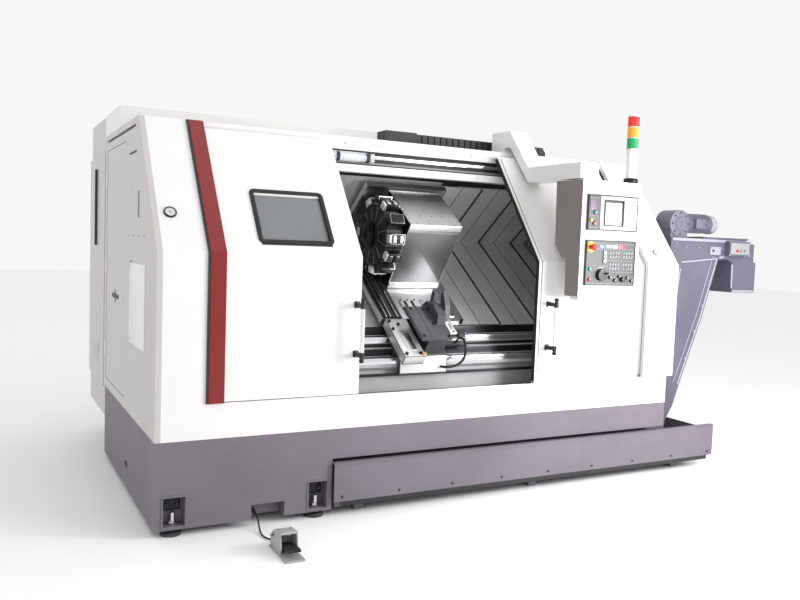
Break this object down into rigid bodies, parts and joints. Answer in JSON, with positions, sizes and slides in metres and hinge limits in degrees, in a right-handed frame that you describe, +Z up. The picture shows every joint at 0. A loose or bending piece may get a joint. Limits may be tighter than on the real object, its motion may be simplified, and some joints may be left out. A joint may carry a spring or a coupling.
{
  "type": "cnc turning lathe",
  "caption": "Slant-bed turning lathe in a sheet-metal enclosure with sliding doors, turret, steady rest, tailstock, operator pendant, chip conveyor, coolant tank and foot pedal.",
  "frame": {"origin": "floor, at the middle of the footprint measured without the pedal and its cable", "axes": "+X along the spindle from headstock to tailstock, +Y from the operator to the rear cabinet, +Z up"},
  "size_m": [4.58, 3.1351, 2.425],
  "materials": {
    "enclosure": "satin",
    "cabinet": "satin",
    "base": "matt",
    "conveyor": "satin",
    "motor": "satin",
    "trim": "gloss",
    "casting": "painted, satin",
    "bright_steel": "brushed",
    "hard_steel": "ground",
    "turret": "satin",
    "black_plastic": "matt",
    "window": "clear",
    "lamp": "clear",
    "panel": "matt",
    "stop_red": "gloss",
    "push_white": "gloss",
    "tower": "gloss",
    "pads": "matt",
    "pedal": "satin",
    "treadle": "matt",
    "cable": "matt"
  },
  "bodies": {
    "machine": {"back_cover": "enclosure", "base_skirt": "enclosure", "bed_base": "base", "cable_chain": "black_plastic", "cable_gland": "black_plastic", "conveyor_casing": "conveyor", "conveyor_drive": "motor", "coolant_tank": "base", "headstock": "casting", "inner_front_panels": "enclosure", "left_corner_cover": "enclosure", "left_end_cover": "enclosure", "leveling_pads": "pads", "overhead_arm": "cabinet", "pedal_cable": "cable", "pedal_hood": "pedal", "rear_cabinet": "cabinet", "red_trim": "trim", "right_end_cover": "enclosure", "roof_cover": "enclosure", "slant_bed": "casting", "tank_front_panel": "base", "way_cover_4": "bright_steel", "way_cover_left": "bright_steel", "work_lamp": "lamp"},
    "left_door": {"left_door": "enclosure", "left_window": "window", "left_door_handle": "black_plastic"},
    "right_door": {"right_door": "enclosure", "right_door_handle": "black_plastic"},
    "spindle": {"spindle": "bright_steel", "chuck_body": "hard_steel"},
    "jaw_1": {"chuck_jaw_1": "hard_steel"},
    "jaw_2": {"chuck_jaw_2": "hard_steel"},
    "jaw_3": {"chuck_jaw_3": "hard_steel"},
    "end_door": {"left_end_door": "enclosure"},
    "cabinet_door": {"rear_cabinet_door": "cabinet"},
    "saddle": {"saddle": "bright_steel"},
    "cover_1": {"way_cover_1": "bright_steel"},
    "cover_2": {"way_cover_2": "bright_steel"},
    "cover_3": {"way_cover_3": "bright_steel"},
    "cross_slide": {"turret_housing": "bright_steel"},
    "turret": {"turret_disc": "turret", "tool_holders": "hard_steel"},
    "steady_rest": {"steady_rest_body": "casting", "steady_hose": "cable"},
    "arm_front": {"steady_arm_front": "casting"},
    "arm_rear": {"steady_arm_rear": "casting"},
    "tailstock": {"tailstock_body": "casting"},
    "quill": {"tailstock_quill": "bright_steel"},
    "live_centre": {"live_centre": "hard_steel"},
    "pendant": {"pendant_body": "cabinet", "operator_panel": "panel", "signal_tower": "tower"},
    "stop_button": {"e_stop": "stop_red"},
    "start": {"start_button": "push_white"},
    "hold": {"hold_button": "push_white"},
    "handwheel": {"handwheel": "black_plastic"},
    "feed_dial": {"feed_knob": "black_plastic"},
    "treadle": {"pedal_flap": "treadle"}
  },
  "joints": [
    {"name": "left_door_slide", "type": "slide", "parent": "machine", "child": "left_door", "axis": [1, 0, 0], "range_m": [0, 0.615]},
    {"name": "right_door_slide", "type": "slide", "parent": "machine", "child": "right_door", "axis": [-1, 0, 0], "range_m": [0, 0.615]},
    {"name": "spindle_turn", "type": "hinge", "parent": "machine", "child": "spindle", "pos_m": [-1.555, -0.85825, 1.371], "axis": [1, 0, 0], "continuous": true},
    {"name": "jaw_1_slide", "type": "slide", "parent": "spindle", "child": "jaw_1", "axis": [0, 0, 1], "range_m": [-0.012, 0.012]},
    {"name": "jaw_2_slide", "type": "slide", "parent": "spindle", "child": "jaw_2", "axis": [0, -0.866, -0.5], "range_m": [-0.012, 0.012]},
    {"name": "jaw_3_slide", "type": "slide", "parent": "spindle", "child": "jaw_3", "axis": [0, 0.866, -0.5], "range_m": [-0.012, 0.012]},
    {"name": "end_door_hinge", "type": "hinge", "parent": "machine", "child": "end_door", "pos_m": [-2.29, 0.53875, 1.33], "axis": [0, 0, -1], "range_deg": [0, 110]},
    {"name": "cabinet_door_hinge", "type": "hinge", "parent": "machine", "child": "cabinet_door", "pos_m": [-2.29, 1.41175, 1.29], "axis": [0, 0, -1], "range_deg": [0, 110]},
    {"name": "saddle_slide", "type": "slide", "parent": "machine", "child": "saddle", "axis": [1, 0, 0], "range_m": [-0.25, 0.54]},
    {"name": "cover_1_slide", "type": "slide", "parent": "machine", "child": "cover_1", "axis": [1, 0, 0], "range_m": [-0.1875, 0.405]},
    {"name": "cover_2_slide", "type": "slide", "parent": "machine", "child": "cover_2", "axis": [1, 0, 0], "range_m": [-0.125, 0.27]},
    {"name": "cover_3_slide", "type": "slide", "parent": "machine", "child": "cover_3", "axis": [1, 0, 0], "range_m": [-0.0625, 0.135]},
    {"name": "cross_slide_feed", "type": "slide", "parent": "saddle", "child": "cross_slide", "axis": [0, -0.8131, -0.5821], "range_m": [0, 0.11]},
    {"name": "turret_index", "type": "hinge", "parent": "cross_slide", "child": "turret", "pos_m": [-0.75, -0.53855, 1.6001], "axis": [1, 0, 0], "continuous": true},
    {"name": "steady_slide", "type": "slide", "parent": "machine", "child": "steady_rest", "axis": [1, 0, 0], "range_m": [-0.25, 0.3]},
    {"name": "arm_front_hinge", "type": "hinge", "parent": "steady_rest", "child": "arm_front", "pos_m": [-0.491, -0.97125, 1.095], "axis": [-1, 0, 0], "range_deg": [0, 12]},
    {"name": "arm_rear_hinge", "type": "hinge", "parent": "steady_rest", "child": "arm_rear", "pos_m": [-0.491, -0.80825, 1.095], "axis": [1, 0, 0], "range_deg": [0, 12]},
    {"name": "tailstock_slide", "type": "slide", "parent": "machine", "child": "tailstock", "axis": [1, 0, 0], "range_m": [-0.5, 0.1]},
    {"name": "quill_slide", "type": "slide", "parent": "tailstock", "child": "quill", "axis": [-1, 0, 0], "range_m": [0, 0.1]},
    {"name": "centre_turn", "type": "hinge", "parent": "quill", "child": "live_centre", "pos_m": [0.36, -0.85825, 1.371], "axis": [1, 0, 0], "continuous": true},
    {"name": "pendant_swivel", "type": "hinge", "parent": "machine", "child": "pendant", "pos_m": [0.282, -1.26825, 1.99], "axis": [0, 0, 1], "range_deg": [-45, 0]},
    {"name": "stop_press", "type": "slide", "parent": "pendant", "child": "stop_button", "axis": [0, 1, 0], "range_m": [0, 0.005], "stiffness_N_per_m": 600},
    {"name": "start_press", "type": "slide", "parent": "pendant", "child": "start", "axis": [0, 1, 0], "range_m": [0, 0.003], "stiffness_N_per_m": 400},
    {"name": "hold_press", "type": "slide", "parent": "pendant", "child": "hold", "axis": [0, 1, 0], "range_m": [0, 0.003], "stiffness_N_per_m": 400},
    {"name": "handwheel_turn", "type": "hinge", "parent": "pendant", "child": "handwheel", "pos_m": [0.372, -1.39825, 1.4], "axis": [0, 1, 0], "continuous": true},
    {"name": "feed_dial_turn", "type": "hinge", "parent": "pendant", "child": "feed_dial", "pos_m": [0.55, -1.39825, 1.374], "axis": [0, 1, 0], "range_deg": [-135, 135]},
    {"name": "treadle_press", "type": "hinge", "parent": "machine", "child": "treadle", "pos_m": [-1.725, -1.52325, 0.032], "axis": [1, 0, 0], "range_deg": [0, 8], "stiffness_Nm_per_rad": 15, "springref_deg": -5.73}
  ],
  "couplings": [
    {"joint": "jaw_2_slide", "follows": "jaw_1_slide", "ratio": 1},
    {"joint": "jaw_3_slide", "follows": "jaw_1_slide", "ratio": 1},
    {"joint": "cover_1_slide", "follows": "saddle_slide", "ratio": 0.75},
    {"joint": "cover_2_slide", "follows": "saddle_slide", "ratio": 0.5},
    {"joint": "cover_3_slide", "follows": "saddle_slide", "ratio": 0.25},
    {"joint": "arm_rear_hinge", "follows": "arm_front_hinge", "ratio": 1}
  ]
}
